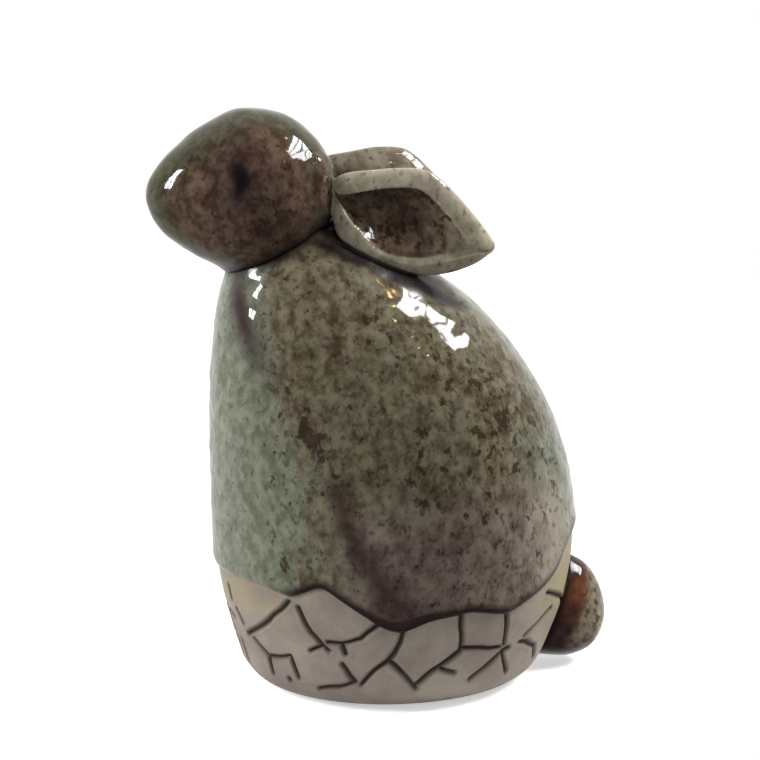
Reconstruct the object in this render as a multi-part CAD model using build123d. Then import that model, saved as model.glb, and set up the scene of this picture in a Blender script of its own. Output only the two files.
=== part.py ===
from build123d import *

import os
from math import atan2, cos, degrees, pi, radians, sin

# Ceramic rabbit figurine: a hollow cast torso with a bare foot band under a runny glaze. The hollow head,
# the two laid-back ears and the tail are made apart and luted on with slip, and a clay disc closes the foot.
#
# The rabbit faces -X, its left flank faces -Y, +Z is up. The origin is the middle of the flat foot.
# All sizes are millimetres, all angles degrees.

# Torso: an upright egg with a straight chest and a sloping back.
TORSO_HEIGHT = 96.0
TORSO_LENGTH = 73.0
TORSO_WIDTH = 61.0
TORSO_WALL = 4.0
FLOOR_THICKNESS = 5.0
FOOT_ROUND = 9.0
# Each row: share of the height, then reach of chest and back as shares of half the length,
# and reach of the flanks as a share of half the width.
HAUNCH = (0.813, 0.940, 0.385, 0.660)
SHOULDER = (0.927, 0.790, -0.030, 0.390)
NECK = (0.965, 0.670, -0.200, 0.270)
CROWN = (1.000, 0.540, -0.290, 0.150)
TORSO_SECTIONS = [
    (0.000, 0.815, 0.755, 0.840),
    (0.062, 0.845, 0.845, 0.890),
    (0.146, 0.910, 0.930, 0.950),
    (0.271, 0.975, 1.000, 1.000),
    (0.438, 0.990, 0.970, 0.980),
    (0.604, 0.990, 0.815, 0.900),
    (0.728, 0.970, 0.600, 0.780),
    HAUNCH,
    (0.875, 0.890, 0.170, 0.530),
    SHOULDER,
    NECK,
    CROWN,
]
# The hollow inside ends at the shoulder, and the neck above it is solid but for a vent.
HOLLOW_SECTIONS = TORSO_SECTIONS[:-2]

# Pour hole in the foot, and the clay disc that closes it, with its vent.
POUR_HOLE_DIAMETER = 26.0
PLUG_THICKNESS = 5.0
PLUG_VENT_DIAMETER = 3.5
PLUG_VENT_SETBACK = 7.0

# Head: an egg with a blunt cone for a muzzle, its axis running from nose to nape.
HEAD_LENGTH = 37.0
HEAD_HEIGHT = 32.4
HEAD_WIDTH = 28.0
HEAD_WALL = 4.0
HEAD_PITCH = 3.5
NAPE_SETBACK = 1.1
HEAD_SINK = 11.8
HEAD_FULLEST = 0.54
# Powers of the muzzle's outline: the first sets how it narrows to the nose, the second how blunt it is.
MUZZLE_CURVE = (1.25, 0.55)
NECK_VENT_DIAMETER = 4.0

# Eyes: shallow hollows on both sides of the head, measured from the nose along and above the head's axis.
EYE_SETBACK = 15.0
EYE_RISE = 5.0
EYE_WIDTH = 2.2
EYE_HEIGHT = 3.6
EYE_DEPTH = 0.5

# Ears: laid back over the shoulders, scooped on the outer side. The root is let into the nape.
EAR_LENGTH = 35.8
EAR_WIDTH = 19.4
EAR_THICKNESS = 6.0
EAR_UPPER_RIM = 2.4
EAR_LOWER_RIM = 3.4
EAR_SCOOP_DEPTH = 3.4
EAR_ROOT_INSET = 3.9
EAR_ROOT_SPREAD = 13.6
EAR_ROOT_RISE = 5.8
EAR_LIFT_OFF = 17.5
EAR_SPLAY = 7.0
EAR_LEAN = 10.0
RIGHT_EAR_LIFT = 1.0
# Each row: share of the length, then upper edge, lower edge (shares of the width) and thickness share.
EAR_SECTIONS = [
    (-0.07, 0.120, -0.120, 0.66),
    (0.14, 0.280, -0.320, 0.86),
    (0.33, 0.410, -0.480, 1.00),
    (0.52, 0.480, -0.536, 1.00),
    (0.70, 0.365, -0.520, 0.90),
    (0.86, 0.180, -0.430, 0.74),
    (0.96, 0.060, -0.290, 0.54),
    (1.00, -0.010, -0.140, 0.26),
]
# The scoop runs out to a point at both ends: share of the length, share of the width.
SCOOP_START = (0.10, 0.01)
SCOOP_END = (0.95, -0.12)
# The scoop's rings lie between these shares of the length.
SCOOP_SPAN = (0.2, 0.9)

# Tail: a stubby egg on the back, just clear of the ground.
TAIL_HEIGHT = 21.6
TAIL_LENGTH = 16.5
TAIL_WIDTH = 15.0
TAIL_INSET = 0.6
TAIL_GROUND = 1.2
TAIL_LEAN = 7.0
TAIL_FULLEST = 0.52

# Coats and joints.
GLAZE = 0.6
SLIP = 0.8

# Powers of a plain elliptical outline, the steps a rounded form is drawn in, and the small flat that
# closes its ends, as a share of its fullest section.
ROUND_CURVE = (2.0, 0.5)
ROUND_STEPS = 10
ROUND_TIP = 0.05

# Lower edge of the torso's glaze: angle round from the left flank towards the tail, and height as a
# share of the glaze line's. The glaze ran low on both flanks and stopped high at the tail.
GLAZE_LINE = 22.0
GLAZE_EDGE = [
    (-90, 1.14),
    (-56, 1.16),
    (-44, 1.09),
    (-33, 1.23),
    (-26, 1.09),
    (-13, 0.84),
    (-8, 0.80),
    (1, 0.91),
    (14, 0.96),
    (28, 0.87),
    (44, 1.02),
    (52, 1.14),
    (57, 1.29),
    (67, 1.40),
    (90, 1.45),
    (124, 1.27),
    (140, 1.00),
    (158, 1.07),
    (172, 0.86),
    (190, 0.93),
    (204, 0.82),
    (222, 1.16),
    (238, 1.05),
    (252, 1.20),
]
# The slopes cut along that edge start at the torso's axis and run this many times as far as its surface.
EDGE_OVERRUN = 2.0

# Places worked out from the sizes above.
CROWN_FRONT_X = -CROWN[1] * TORSO_LENGTH / 2
CROWN_REAR_X = CROWN[2] * TORSO_LENGTH / 2
NAPE_X = CROWN_REAR_X - NAPE_SETBACK
NOSE_X = NAPE_X - HEAD_LENGTH * cos(radians(HEAD_PITCH))
NOSE_Z = TORSO_HEIGHT - HEAD_SINK + HEAD_HEIGHT / 2 - HEAD_FULLEST * HEAD_LENGTH * sin(radians(HEAD_PITCH))
BACK_RUN = (HAUNCH[2] - SHOULDER[2]) * TORSO_LENGTH / 2
BACK_DROP = (SHOULDER[0] - HAUNCH[0]) * TORSO_HEIGHT
EAR_PITCH = degrees(atan2(BACK_DROP, BACK_RUN)) - EAR_LIFT_OFF
HEAD_PLACE = Pos(NOSE_X, 0, NOSE_Z) * Rot(0, -HEAD_PITCH, 0)


def torso_form(grow=0.0, rows=TORSO_SECTIONS):
    """The torso's outer form, grown all round by that much, or shrunk if negative. It stands on the ground."""
    sections = []
    for rise, chest, back, side in rows:
        front = -chest * TORSO_LENGTH / 2 - grow
        rear = back * TORSO_LENGTH / 2 + grow
        half_width = side * TORSO_WIDTH / 2 + grow
        ring = Plane(((front + rear) / 2, 0, rise * (TORSO_HEIGHT + grow)))
        sections.append(ring * Ellipse((rear - front) / 2, half_width))
    form = loft(sections)
    return fillet(form.edges().group_by(Axis.Z)[0], FOOT_ROUND + grow)


def rounded_form(length, half_width, half_height, fullest, front_curve=ROUND_CURVE):
    """A solid round at both ends, lying along X from the origin, fullest at that share of its length."""
    sections = []
    for step in range(ROUND_STEPS + 1):
        share = (1 - cos(pi * step / ROUND_STEPS)) / 2
        if share < fullest:
            offset = (fullest - share) / fullest
            narrow, blunt = front_curve
        else:
            offset = (share - fullest) / (1 - fullest)
            narrow, blunt = ROUND_CURVE
        reach = max((1 - offset**narrow) ** blunt, ROUND_TIP)
        ring = Plane((share * length, 0, 0), x_dir=(0, 1, 0), z_dir=(1, 0, 0))
        sections.append(ring * Ellipse(half_width * reach, half_height * reach))
    return loft(sections)


def head_form(grow=0.0):
    """The head's outer form, grown all round by that much, or shrunk if negative."""
    head = rounded_form(
        HEAD_LENGTH + 2 * grow, HEAD_WIDTH / 2 + grow, HEAD_HEIGHT / 2 + grow, HEAD_FULLEST, MUZZLE_CURVE
    )
    return HEAD_PLACE * Pos(-grow, 0, 0) * head


def ear_ring(along, outward, middle, half_thickness, half_height):
    """An ellipse across the ear, with the ear lying along X and its scoop facing -Y."""
    ring = Plane((along, -outward, middle), x_dir=(0, 1, 0), z_dir=(1, 0, 0))
    return ring * Ellipse(half_thickness, half_height)


def ear_form(lift=0.0):
    """The left ear: a thick leaf with its outer face scooped out inside the rim."""
    leaf = []
    scoop = []
    for along, upper, lower, thick in EAR_SECTIONS:
        reach = along * EAR_LENGTH
        middle = (upper + lower) / 2 * EAR_WIDTH
        half_height = (upper - lower) / 2 * EAR_WIDTH
        half_thickness = thick * EAR_THICKNESS / 2
        leaf.append(ear_ring(reach, 0, middle, half_thickness, half_height))
        if SCOOP_SPAN[0] < along < SCOOP_SPAN[1]:
            depth = thick * EAR_SCOOP_DEPTH
            scoop_middle = middle + (EAR_LOWER_RIM - EAR_UPPER_RIM) / 2
            scoop_half_height = half_height - (EAR_LOWER_RIM + EAR_UPPER_RIM) / 2
            scoop.append(ear_ring(reach, half_thickness, scoop_middle, depth, scoop_half_height))
    ends = []
    for along, rise in (SCOOP_START, SCOOP_END):
        ends.append(Vertex(along * EAR_LENGTH, -EAR_THICKNESS / 2, rise * EAR_WIDTH))
    ear = loft(leaf) - loft([ends[0], *scoop, ends[1]])
    root = Pos(NAPE_X - EAR_ROOT_INSET, -EAR_ROOT_SPREAD / 2, TORSO_HEIGHT + EAR_ROOT_RISE + lift)
    return root * Rot(0, 0, -EAR_SPLAY) * Rot(0, EAR_PITCH, 0) * Rot(EAR_LEAN, 0, 0) * ear


def tail_form():
    """The tail: an egg stood on end, fuller below, leaning against the back."""
    egg = Rot(0, -90, 0) * rounded_form(TAIL_HEIGHT, TAIL_WIDTH / 2, TAIL_LENGTH / 2, TAIL_FULLEST)
    middle = Pos(TORSO_LENGTH / 2 - TAIL_INSET, 0, TAIL_GROUND + TAIL_HEIGHT / 2)
    return middle * Rot(0, -TAIL_LEAN, 0) * Pos(0, 0, -TAIL_HEIGHT / 2) * egg


def largest(shape):
    """The main solid of a cut shape, without the crumbs cut off it."""
    return shape.solids().sort_by(SortBy.VOLUME)[-1]


def bare_zone():
    """The space below the glaze's edge: a fan of slopes from the torso's axis out past the edge's points."""
    points = []
    for angle, share in GLAZE_EDGE:
        turn = radians(angle)
        x = EDGE_OVERRUN * TORSO_LENGTH / 2 * sin(turn)
        y = -EDGE_OVERRUN * TORSO_WIDTH / 2 * cos(turn)
        points.append(Vector(x, y, GLAZE_LINE * (1 + EDGE_OVERRUN * (share - 1))))
    hub = Vector(0, 0, GLAZE_LINE)
    below = [Vector(point.X, point.Y, -1) for point in points]
    faces = [Face(Wire.make_polygon(below))]
    for index, point in enumerate(points):
        after = (index + 1) % len(points)
        faces.append(Face(Wire.make_polygon([hub, point, points[after]])))
        faces.append(Face(Wire.make_polygon([point, points[after], below[after], below[index]])))
    return Solid(Shell(faces))


# Forms that the pieces are cut from.
torso_outer = torso_form()
torso_slipped = torso_form(SLIP)
head_outer = head_form()
head_slipped = head_form(SLIP)
head_hollow = head_form(-HEAD_WALL)
left_ear_form = ear_form()
right_ear_form = mirror(ear_form(RIGHT_EAR_LIFT), about=Plane.XZ)
tail_outer = tail_form()
neck_vent = Pos(CROWN_FRONT_X, 0, TORSO_HEIGHT) * Cylinder(NECK_VENT_DIAMETER / 2, HEAD_HEIGHT)

# Torso shell: even wall, flat floor, pour hole in the floor and a vent up into the head.
hollow = torso_form(-TORSO_WALL, HOLLOW_SECTIONS) & Pos(0, 0, FLOOR_THICKNESS) * Box(
    2 * TORSO_LENGTH, 2 * TORSO_WIDTH, TORSO_HEIGHT, align=(Align.CENTER, Align.CENTER, Align.MIN)
)
pour_hole = Cylinder(POUR_HOLE_DIAMETER / 2, 2 * FLOOR_THICKNESS)
torso_shell = torso_outer - hollow - pour_hole - neck_vent

# Clay disc let into the pour hole flush with the foot, with a vent towards the tail, and its slip.
plug_radius = POUR_HOLE_DIAMETER / 2 - SLIP
on_ground = (Align.CENTER, Align.CENTER, Align.MIN)
plug_vent = Pos(PLUG_VENT_SETBACK, 0, 0) * Cylinder(PLUG_VENT_DIAMETER / 2, 4 * PLUG_THICKNESS)
pour_hole_plug = Cylinder(plug_radius, PLUG_THICKNESS, align=on_ground) - plug_vent
slip_height = min(PLUG_THICKNESS, FLOOR_THICKNESS)
plug_slip = Cylinder(POUR_HOLE_DIAMETER / 2, slip_height, align=on_ground)
plug_slip -= Cylinder(plug_radius, slip_height, align=on_ground)

# Head: hollow, open below where it sits over the crown, with a hollow for each eye.
eye_cut = HEAD_PLACE * Pos(EYE_SETBACK, 0, EYE_RISE) * Rot(90, 0, 0) * extrude(
    Ellipse(EYE_WIDTH / 2, EYE_HEIGHT / 2), HEAD_WIDTH, both=True
)
head_shell = largest(head_outer - head_hollow - torso_slipped - (eye_cut - head_form(-EYE_DEPTH)))
neck_slip = (torso_slipped - torso_outer) & (head_outer - head_hollow)

# Ears: each sits on the nape and lies on the shoulder, bedded in slip at both.
def ear_and_slip(form):
    """Cuts one ear to its two seats, and makes the bed of slip on each."""
    ear = largest(form - head_slipped - torso_slipped)
    on_nape = largest((form & head_slipped) - head_outer - torso_slipped)
    on_shoulder = largest((form & torso_slipped) - torso_outer - head_slipped)
    return ear, Compound([on_nape, on_shoulder])


left_ear, left_ear_slip = ear_and_slip(left_ear_form)
right_ear, right_ear_slip = ear_and_slip(right_ear_form)

# Tail and its bed of slip.
tail = largest(tail_outer - torso_slipped)
tail_slip = (tail_outer & torso_slipped) - torso_outer

# Glaze coat of the torso, down to its ragged edge and up to the pieces luted on.
torso_glaze = torso_form(GLAZE) - torso_outer - bare_zone()
torso_glaze -= head_outer + left_ear_form + right_ear_form + tail_outer
torso_glaze = largest(torso_glaze)

NODES = {
    "torso_shell": torso_shell,
    "torso_glaze": torso_glaze,
    "pour_hole_plug": pour_hole_plug,
    "plug_slip": plug_slip,
    "head_shell": head_shell,
    "neck_slip": neck_slip,
    "left_ear": left_ear,
    "right_ear": right_ear,
    "left_ear_slip": left_ear_slip,
    "right_ear_slip": right_ear_slip,
    "tail": tail,
    "tail_slip": tail_slip,
}

os.makedirs("parts", exist_ok=True)
for node, shape in NODES.items():
    export_step(shape, f"parts/{node}.step")
    box = shape.bounding_box()
    print(node, len(shape.solids()), round(shape.volume, 1), box.min, box.max)
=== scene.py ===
"""Glazed ceramic rabbit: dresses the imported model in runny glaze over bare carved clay, on a pale floor."""
import math

import bmesh
import bpy
import numpy as np
from mathutils import Matrix, Vector
from mathutils.bvhtree import BVHTree

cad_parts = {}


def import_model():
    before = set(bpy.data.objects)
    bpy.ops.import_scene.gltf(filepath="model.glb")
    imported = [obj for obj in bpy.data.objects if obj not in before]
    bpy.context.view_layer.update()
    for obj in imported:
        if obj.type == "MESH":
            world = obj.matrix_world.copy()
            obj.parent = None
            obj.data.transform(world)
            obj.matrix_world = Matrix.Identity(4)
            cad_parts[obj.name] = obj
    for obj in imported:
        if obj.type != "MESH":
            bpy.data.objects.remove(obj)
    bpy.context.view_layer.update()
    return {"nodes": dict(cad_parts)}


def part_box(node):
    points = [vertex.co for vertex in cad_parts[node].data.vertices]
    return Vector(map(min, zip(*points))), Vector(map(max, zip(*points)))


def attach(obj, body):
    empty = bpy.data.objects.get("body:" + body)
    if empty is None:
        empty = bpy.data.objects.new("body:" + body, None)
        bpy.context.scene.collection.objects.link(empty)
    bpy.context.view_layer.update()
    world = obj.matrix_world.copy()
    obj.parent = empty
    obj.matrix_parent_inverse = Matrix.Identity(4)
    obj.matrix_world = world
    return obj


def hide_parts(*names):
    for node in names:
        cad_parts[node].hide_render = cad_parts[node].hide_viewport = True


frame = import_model()

# Forms are worked out in millimetres, in the frame's axes: the rabbit faces -X, its left flank is -Y.
MM = 0.001
PICTURE_SIZE = 760


def node_box(name):
    """Lowest and highest corner of a CAD node, in millimetres."""
    low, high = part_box(name)
    return np.array(low) / MM, np.array(high) / MM


TORSO_LOW, TORSO_HIGH = node_box("torso_shell")
HEAD_LOW, HEAD_HIGH = node_box("head_shell")
TAIL_LOW = node_box("tail")[0]
GLAZE_HIGH = node_box("torso_glaze")[1]
PLUG_HIGH = node_box("pour_hole_plug")[1]
SLIP_HIGH = node_box("plug_slip")[1]

HALF_LENGTH = (TORSO_HIGH[0] - TORSO_LOW[0]) / 2
HALF_WIDTH = (TORSO_HIGH[1] - TORSO_LOW[1]) / 2
GLAZE = GLAZE_HIGH[1] - TORSO_HIGH[1]
FLOOR_THICKNESS = PLUG_HIGH[2]
POUR_HOLE_RADIUS = SLIP_HIGH[0]
TORSO_WALL = 4.0
FOOT_ROUND = 9.0
CLAY_TOP = 93.0
CROWN_TOP = 95.4
HOLLOW_TOP = 86.0

# Head: an egg with a blunt muzzle, as in the solid.
HEAD_LENGTH = 37.0
HEAD_HEIGHT = 32.4
HEAD_WIDTH = 28.0
HEAD_PITCH = 3.5
HEAD_FULLEST = 0.54
MUZZLE_CURVE = (1.25, 0.55)
MUZZLE_EASE = 0.08
ROUND_CURVE = (2.0, 0.5)
EYE_SETBACK = 17.0
EYE_RISE = 5.0
EYE_WIDTH = 2.8
EYE_HEIGHT = 5.2
EYE_DEPTH = 0.3
EYE_SHARPNESS = 6.0
# A small run of glaze before and below the eye.
SMEAR_OFFSET = (1.6, 3.2)
SMEAR_SIZE = 1.5
HEAD_DETAIL = 7

# Ears: thick leaves, scooped on the outer side, as in the solid.
EAR_LENGTH = 35.8
EAR_WIDTH = 19.4
EAR_THICKNESS = 6.0
EAR_SCOOP_DEPTH = 4.0
EAR_ROOT_INSET = 3.9
EAR_ROOT_SPREAD = 13.6
EAR_ROOT_RISE = 5.8
EAR_PITCH = 18.3
EAR_SPLAY = 7.0
EAR_LEAN = 10.0
RIGHT_EAR_LIFT = 1.0
EAR_RIM_ROUND = 1.3
EAR_ROWS = 190
EAR_COLUMNS = 168
# Each row: share of the length, then upper edge, lower edge (shares of the width) and thickness share.
EAR_SECTIONS = np.array([
    (-0.07, 0.120, -0.120, 0.66),
    (0.06, 0.190, -0.225, 0.76),
    (0.20, 0.300, -0.450, 0.90),
    (0.36, 0.430, -0.580, 1.00),
    (0.52, 0.490, -0.580, 1.00),
    (0.70, 0.355, -0.520, 0.90),
    (0.86, 0.170, -0.390, 0.74),
    (0.96, 0.040, -0.220, 0.54),
    (1.00, -0.020, -0.110, 0.26),
])
# Width of the rims above and below the scoop, at shares of the length.
RIM_SHARES = (0.09, 0.27, 0.47, 0.62, 1.0)
UPPER_RIM = (4.1, 3.7, 3.3, 3.0, 2.6)
LOWER_RIM = (4.9, 5.2, 3.3, 2.4, 2.2)
# The lower edge is draped outwards over the shoulder.
EAR_DRAPE = 4.0
SCOOP_SPAN = (0.03, 0.97)
SCOOP_FADE = (0.16, 0.55)
SCOOP_SKEW = 1.5
SCOOP_HOLLOW = 0.55

# Tail: a stubby egg stood on end.
TAIL_HEIGHT = 21.6
TAIL_LENGTH = 16.5
TAIL_WIDTH = 15.0
TAIL_INSET = 0.6
TAIL_LEAN = 7.0
TAIL_FULLEST = 0.44
# The lower part is spread towards the body.
TAIL_TUCK = 3.4
TAIL_TUCK_HEIGHTS = (13, 2)
TAIL_TUCK_HALF = 5.0
TAIL_DETAIL = 6

# How finely the torso is drawn.
TORSO_COLUMNS = 1080
GLAZE_STEP = 2
SURVEY_STEP = 0.35
FOOT_ROWS = 36
FOOT_START = 0.02
BAND_ROWS = 130
GLAZE_ROWS = 190
LIP_HEIGHT = 3.0
LIP_ROWS = 22
CROWN_SHARES = (0.9, 0.75, 0.55, 0.35, 0.15, 0.01)
WALL_ROWS = 24
HOLLOW_ROWS = 12
# How often the survey is smoothed: round the torso, up it, and along the glaze's edge.
ROUND_PASSES = 40
UP_PASSES = 30
EDGE_PASSES = 60
EDGE_SEARCH = (12.0, 40.0, 0.2)
# Lower edge of the glaze: its rounding, the roll above it, and how far the coat reaches into the clay.
LIP_ROUND = 0.9
ROLL_HEIGHT = 0.2
ROLL_RISE = 1.6
ROLL_SPREAD = 1.4
COAT_UNDER = 0.15

# Carved crackle in the bare band, seen on the left flank and repeated half a turn on: each line is a list
# of (angle round from the flank towards the tail in degrees, height in mm).
CRACKLE = [
    [(-46, 23), (-55, 18), (-71, 13)],
    [(-67, 12.5), (-60, 9.5), (-60, 6)],
    [(-59, 9.5), (-48, 11), (-46, 6.5)],
    [(-79, 22), (-79, 19.5)],
    [(-76, 17.5), (-73, 15)],
    [(-80, 10.5), (-80, 6)],
    [(-51, 5.5), (-51, 5.3)],
    [(-42, 22), (-38, 17), (-34, 14.5)],
    [(-39, 13), (-34, 14.5), (-32, 13.5)],
    [(-32, 15.5), (-27, 15.5), (-26, 13)],
    [(-27, 15.5), (-21, 16.5), (-15, 20)],
    [(-7, 19), (-10, 13.5), (-12, 12)],
    [(-12, 12), (-16, 10), (-21, 6.5)],
    [(-28, 10.5), (-23, 7)],
    [(-37, 4.5), (-30, 5.5), (-24, 7)],
    [(-12, 12), (-6, 8.5), (-2, 5.5)],
    [(-2, 6.5), (3, 9), (10, 12), (12, 13)],
    [(6, 9.5), (11, 8.5)],
    [(11, 22), (12, 16.5), (12, 13)],
    [(12, 13.5), (20, 13), (28, 12)],
    [(28, 21), (30, 12.5)],
    [(33, 11.5), (29, 10.5), (24, 8.5), (18, 6)],
    [(30, 11), (35, 6)],
    [(49, 21), (67, 17.5)],
    [(40, 13), (55, 17)],
    [(38, 12), (51, 9.5), (55, 6)],
    [(67, 17.5), (76, 15), (86, 17), (99, 15.5)],
    [(76, 15), (74, 9), (68, 6)],
    [(86, 17), (84, 24)],
    [(92, 16.5), (95, 10), (90, 5.5)],
    [(74, 9), (84, 10.5), (95, 10)],
]
CRACK_HALF_WIDTH = 0.5
CRACK_DEPTH = 0.6
CRACK_LIP = 0.07
CRACK_WOBBLE = 0.25
GLAZE_WAVE = 0.1
# A dark run of glaze on each flank: heights, then angles and half widths there.
STREAK_HEIGHTS = (18, 25, 32, 40, 47)
STREAK_ANGLES = (-3, -11, -18.5, -24, -26)
STREAK_SPREADS = (15, 8, 5, 4, 3.5)
CLAY_WAVE = 0.1
# Soft patches of the torso's glaze, on both flanks. Each row: strength, angle from the flank and its spread
# in degrees, height and its spread in mm, and the slant in degrees for each mm down.
PALE_PATCHES = (
    (0.3, -40, 12, 38, 12, 0),
    (-0.25, -22, 18, 82, 10, 0),
)
FLECKED_PATCHES = (
    (0.95, 38, 17, 59, 10, 0),
    (0.6, 14, 14, 75, 6, 0),
    (0.5, 8, 20, 48, 6, 0),
    (1.8, -33.5, 4.5, 57, 7, 0.7),
)
POOLED_PATCHES = ((1.0, -62.4, 9, 78, 10, 1.15),)
# Where the torso's glaze changes: angles from the flank in degrees, or heights in mm.
CHEST = (-34, -56)
BACK = (58, 80)
LOW_BACK = (32, 54)
LOW_BACK_TOP = (58, 44)
FLECK_FREE = (-44, -60)
LIP_POOL = (0.8, 3.0)
LIP_POOL_FROM = (-56, -38)
STREAK_END = (52, 44)
ROSY_TOP = (50, 36)
ROSY_FROM = (-34, -14)
ROSY_TO = (42, 66)
DARK_EDGE = (0.3, 1.6)
DARK_EDGE_FROM = (-52, -38)
DARK_EDGE_TO = (25, 45)
# Painted shade under the ears: distance from the ear, and from the middle plane.
UNDER_EAR_SHADE = (8.6, 5.8)
UNDER_EAR_SHADE_FROM = (8.0, 11.0)

# Reach of the rounded joints between pieces.
NECK_JOINT = 3.0
NAPE_JOINT = 5.0
EAR_JOINT = 1.6
TAIL_JOINT = 2.0
# How far the dark crease mark reaches from each joint: darker pooled glaze and painted shade.
NECK_CREASE = 3.0
EAR_CREASE = 7.0
RIM_CREASE = 1.0
NAPE_CREASE = 0.3
# Painted shade in the pocket between head, ears and torso: the summed distance to them where it starts, and
# where it is full.
POCKET_SHADE = (9.0, 3.0)
TAIL_CREASE = 2.6
JOINT_ROUNDS = 12
SUNK_PACE = 4.0
FAR = 1000.0


def smooth_step(low, high, value):
    """0 below low, 1 above high, with a smooth ramp between."""
    share = np.clip((value - low) / (high - low), 0, 1)
    return share * share * (3 - 2 * share)


def waves(points, length, seed, count=18):
    """Smooth random heights of about -1 to 1: a sum of plane waves of about that length."""
    rng = np.random.default_rng(seed)
    total = np.zeros(len(points))
    for _ in range(count):
        way = rng.normal(size=3)
        way /= np.linalg.norm(way)
        pace = 2 * math.pi / (length * rng.uniform(0.7, 1.4))
        total += np.sin(points @ way * pace + rng.uniform(0, 2 * math.pi))
    return total / math.sqrt(2 * count)


def curve_through(knots, values, at):
    """A smooth curve through the values at the knots, read off at other places."""
    slopes = np.gradient(values, knots)
    index = np.clip(np.searchsorted(knots, at) - 1, 0, len(knots) - 2)
    step = knots[index + 1] - knots[index]
    share = (at - knots[index]) / step
    rise = share * share * (3 - 2 * share)
    leave = share * (1 - share) ** 2
    arrive = share * share * (share - 1)
    bend = (leave * slopes[index] + arrive * slopes[index + 1]) * step
    return values[index] * (1 - rise) + values[index + 1] * rise + bend


def moved(points, matrix):
    """Points carried by a 4x4 matrix."""
    turn = np.array(matrix.to_3x3())
    return points @ turn.T + np.array(matrix.to_translation())


def turned(degrees, axis):
    """Rotation matrix about one of the axes."""
    return Matrix.Rotation(math.radians(degrees), 4, axis)


def ring_faces(rings, columns, joined=False):
    """Quads between closed rings of points, and from the last ring back to the first if joined."""
    count = rings if joined else rings - 1
    ring = np.arange(count)[:, None]
    column = np.arange(columns)[None, :]
    after = (column + 1) % columns
    above = (ring + 1) % rings
    low, high = ring * columns, above * columns
    return np.stack([low + column, low + after, high + after, high + column], axis=-1).reshape(-1, 4)


def corner_normals(points, faces):
    """Smooth outward normals at the points of a mesh of equal-sided faces."""
    a = points[faces[:, 0]]
    across = points[faces[:, 1]] - a
    along = points[faces[:, -1]] - a
    if faces.shape[1] == 4:
        across = points[faces[:, 2]] - a
        along = points[faces[:, 3]] - points[faces[:, 1]]
    flat = np.cross(across, along)
    total = np.zeros_like(points)
    for column in range(faces.shape[1]):
        np.add.at(total, faces[:, column], flat)
    return total / (np.linalg.norm(total, axis=1)[:, None] + 1e-12)


def cad_tree(name):
    """Search tree over a CAD node's surface, in millimetres."""
    obj = frame["nodes"][name]
    corners = [(obj.matrix_world @ v.co) / MM for v in obj.data.vertices]
    return BVHTree.FromPolygons(corners, [p.vertices[:] for p in obj.data.polygons])


def gap_to(points, name, reach):
    """Signed distance from each point to a CAD node's surface, and that surface's normal there."""
    tree = cad_tree(name)
    low, high = node_box(name)
    near = np.all((points > low - reach) & (points < high + reach), axis=1)
    gaps = np.full(len(points), FAR)
    normals = np.zeros_like(points)
    for index in np.flatnonzero(near):
        place, normal, _, distance = tree.find_nearest(Vector(points[index]), reach)
        if place is None:
            continue
        outside = (Vector(points[index]) - place).dot(normal) >= 0
        gaps[index] = distance if outside else -distance
        normals[index] = normal
    return gaps, normals


def evened(values, faces, rounds):
    """Values at the points of a mesh, each averaged with its neighbours a number of times."""
    count = np.zeros(len(values))
    np.add.at(count, faces.reshape(-1), 1.0)
    for _ in range(rounds):
        total = np.zeros_like(values)
        middle = values[faces].mean(axis=1)
        for column in range(faces.shape[1]):
            np.add.at(total, faces[:, column], middle)
        values = np.where(count[:, None] > 0, total / np.clip(count, 1, None)[:, None], values)
    return values


def join(points, normals, joints, faces):
    """Raises the surface into a fillet at each joint. Returns the points and a mark, 1 in the creases, for
    darker pooled glaze and painted shade there.
    """
    crease_pool_and_shade = np.zeros(len(points))
    shift = np.zeros_like(points)
    for name, reach, proud, spread in joints:
        gaps, other = gap_to(points, name, 2 * max(reach, spread))
        gaps = gaps - proud
        sunk = np.where(gaps < 0, SUNK_PACE, 1.0)
        close = np.clip(1 - sunk * np.abs(gaps) / reach, 0, 1)
        way = normals * (1 - close / 2)[:, None] + other * (close / 2)[:, None]
        size = np.clip(np.linalg.norm(way, axis=1), 0.4, None)
        shift += way * (close**2 * reach / 4 / size**2)[:, None]
        crease_pool_and_shade = np.maximum(crease_pool_and_shade, 1 - smooth_step(0.2, spread, np.abs(gaps)))
    return points + evened(shift, faces, JOINT_ROUNDS), crease_pool_and_shade


def add_piece(name, points, faces, nodes, material, marks):
    """Makes a mesh piece that rides on the body, stands for CAD nodes and carries marks for its material."""
    mesh = bpy.data.meshes.new(name)
    mesh.from_pydata((points * MM).tolist(), [], faces.tolist() if isinstance(faces, np.ndarray) else faces)
    mesh.polygons.foreach_set("use_smooth", [True] * len(mesh.polygons))
    for mark, values in marks.items():
        layer = mesh.attributes.new(mark, "FLOAT", "POINT")
        layer.data.foreach_set("value", np.asarray(values, dtype=np.float32))
    mesh.update()
    piece = bpy.data.objects.new(name, mesh)
    bpy.context.collection.objects.link(piece)
    mesh.materials.append(material)
    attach(piece, "root")
    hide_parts(*nodes)
    return piece


# Node trees of the materials.
def add(tree, kind, inputs=(), **settings):
    """Adds a node, with its settings, and sets or links its inputs."""
    made = tree.nodes.new(kind)
    for key, value in settings.items():
        setattr(made, key, value)
    for key, value in dict(inputs).items():
        if isinstance(value, bpy.types.NodeSocket):
            tree.links.new(value, made.inputs[key])
        else:
            made.inputs[key].default_value = value
    return made


def mark(tree, name):
    """A mark that the mesh carries."""
    return add(tree, "ShaderNodeAttribute", attribute_name=name).outputs["Fac"]


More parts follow.
